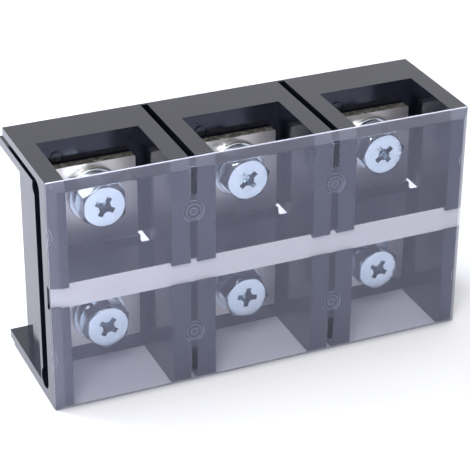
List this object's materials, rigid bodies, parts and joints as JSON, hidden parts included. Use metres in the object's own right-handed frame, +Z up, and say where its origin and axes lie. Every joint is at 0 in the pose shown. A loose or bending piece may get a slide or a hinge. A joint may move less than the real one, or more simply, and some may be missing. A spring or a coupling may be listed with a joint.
{
  "type": "barrier terminal strip",
  "caption": "Barrier terminal strip: black moulded base with a conductor bar in each pole, hexagon-head terminal screws with washers, a marking strip and a clear cover.",
  "frame": {"origin": "centre of the bounding box's underside, where the strip stands on its lower wire-entry side", "axes": "+X along the strip, +Y towards the mounting back with the cover facing -Y, +Z up"},
  "size_m": [0.1354, 0.047, 0.076],
  "materials": {
    "moulding": "black moulded thermoset plastic, lightly glossy",
    "smoky_clear": "clear plastic with a grey-violet smoky tint, polished",
    "label_white": "off-white matt strip",
    "nickel_bar": "nickel-plated, satin, slightly mottled ends",
    "zinc_steel": "bright zinc plating with a bluish tint",
    "washer_steel": "zinc plating, duller than the heads",
    "fixing_steel": "zinc-plated steel"
  },
  "bodies": {
    "base": {"body": "moulding", "bar_1": "nickel_bar", "bar_2": "nickel_bar", "bar_3": "nickel_bar", "bar_fixing_screw_1": "fixing_steel", "bar_fixing_screw_2": "fixing_steel", "bar_fixing_screw_3": "fixing_steel"},
    "cover_body": {"cover": "smoky_clear"},
    "strip_body": {"marking_strip": "label_white"},
    "washers_1_upper": {"spring_washer_1_upper": "washer_steel", "flat_washer_1_upper": "washer_steel"},
    "screw_1_upper": {"terminal_screw_1_upper": "zinc_steel"},
    "washers_2_upper": {"spring_washer_2_upper": "washer_steel", "flat_washer_2_upper": "washer_steel"},
    "screw_2_upper": {"terminal_screw_2_upper": "zinc_steel"},
    "washers_3_upper": {"spring_washer_3_upper": "washer_steel", "flat_washer_3_upper": "washer_steel"},
    "screw_3_upper": {"terminal_screw_3_upper": "zinc_steel"},
    "washers_1_lower": {"spring_washer_1_lower": "washer_steel", "flat_washer_1_lower": "washer_steel"},
    "screw_1_lower": {"terminal_screw_1_lower": "zinc_steel"},
    "washers_2_lower": {"spring_washer_2_lower": "washer_steel", "flat_washer_2_lower": "washer_steel"},
    "screw_2_lower": {"terminal_screw_2_lower": "zinc_steel"},
    "washers_3_lower": {"spring_washer_3_lower": "washer_steel", "flat_washer_3_lower": "washer_steel"},
    "screw_3_lower": {"terminal_screw_3_lower": "zinc_steel"}
  },
  "joints": [
    {"name": "cover_lift", "type": "slide", "parent": "base", "child": "cover_body", "axis": [0, -1, 0], "range_m": [0, 0.04]},
    {"name": "marking_strip_slide", "type": "slide", "parent": "base", "child": "strip_body", "axis": [1, 0, 0], "range_m": [0, 0.136]},
    {"name": "screw_travel_1_upper", "type": "slide", "parent": "base", "child": "washers_1_upper", "axis": [0, -1, 0], "range_m": [0, 0.0075]},
    {"name": "screw_turn_1_upper", "type": "hinge", "parent": "washers_1_upper", "child": "screw_1_upper", "pos_m": [-0.046, 0, 0.0585], "axis": [0, -1, 0], "range_deg": [0, 2160]},
    {"name": "screw_travel_2_upper", "type": "slide", "parent": "base", "child": "washers_2_upper", "axis": [0, -1, 0], "range_m": [0, 0.0075]},
    {"name": "screw_turn_2_upper", "type": "hinge", "parent": "washers_2_upper", "child": "screw_2_upper", "pos_m": [0, 0, 0.0585], "axis": [0, -1, 0], "range_deg": [0, 2160]},
    {"name": "screw_travel_3_upper", "type": "slide", "parent": "base", "child": "washers_3_upper", "axis": [0, -1, 0], "range_m": [0, 0.0075]},
    {"name": "screw_turn_3_upper", "type": "hinge", "parent": "washers_3_upper", "child": "screw_3_upper", "pos_m": [0.046, 0, 0.0585], "axis": [0, -1, 0], "range_deg": [0, 2160]},
    {"name": "screw_travel_1_lower", "type": "slide", "parent": "base", "child": "washers_1_lower", "axis": [0, -1, 0], "range_m": [0, 0.0075]},
    {"name": "screw_turn_1_lower", "type": "hinge", "parent": "washers_1_lower", "child": "screw_1_lower", "pos_m": [-0.046, 0, 0.0175], "axis": [0, -1, 0], "range_deg": [0, 2160]},
    {"name": "screw_travel_2_lower", "type": "slide", "parent": "base", "child": "washers_2_lower", "axis": [0, -1, 0], "range_m": [0, 0.0075]},
    {"name": "screw_turn_2_lower", "type": "hinge", "parent": "washers_2_lower", "child": "screw_2_lower", "pos_m": [0, 0, 0.0175], "axis": [0, -1, 0], "range_deg": [0, 2160]},
    {"name": "screw_travel_3_lower", "type": "slide", "parent": "base", "child": "washers_3_lower", "axis": [0, -1, 0], "range_m": [0, 0.0075]},
    {"name": "screw_turn_3_lower", "type": "hinge", "parent": "washers_3_lower", "child": "screw_3_lower", "pos_m": [0.046, 0, 0.0175], "axis": [0, -1, 0], "range_deg": [0, 2160]}
  ],
  "couplings": [
    {"joint": "screw_travel_1_upper", "follows": "screw_turn_1_upper", "m_per_rad": 0.00019894},
    {"joint": "screw_travel_2_upper", "follows": "screw_turn_2_upper", "m_per_rad": 0.00019894},
    {"joint": "screw_travel_3_upper", "follows": "screw_turn_3_upper", "m_per_rad": 0.00019894},
    {"joint": "screw_travel_1_lower", "follows": "screw_turn_1_lower", "m_per_rad": 0.00019894},
    {"joint": "screw_travel_2_lower", "follows": "screw_turn_2_lower", "m_per_rad": 0.00019894},
    {"joint": "screw_travel_3_lower", "follows": "screw_turn_3_lower", "m_per_rad": 0.00019894}
  ]
}
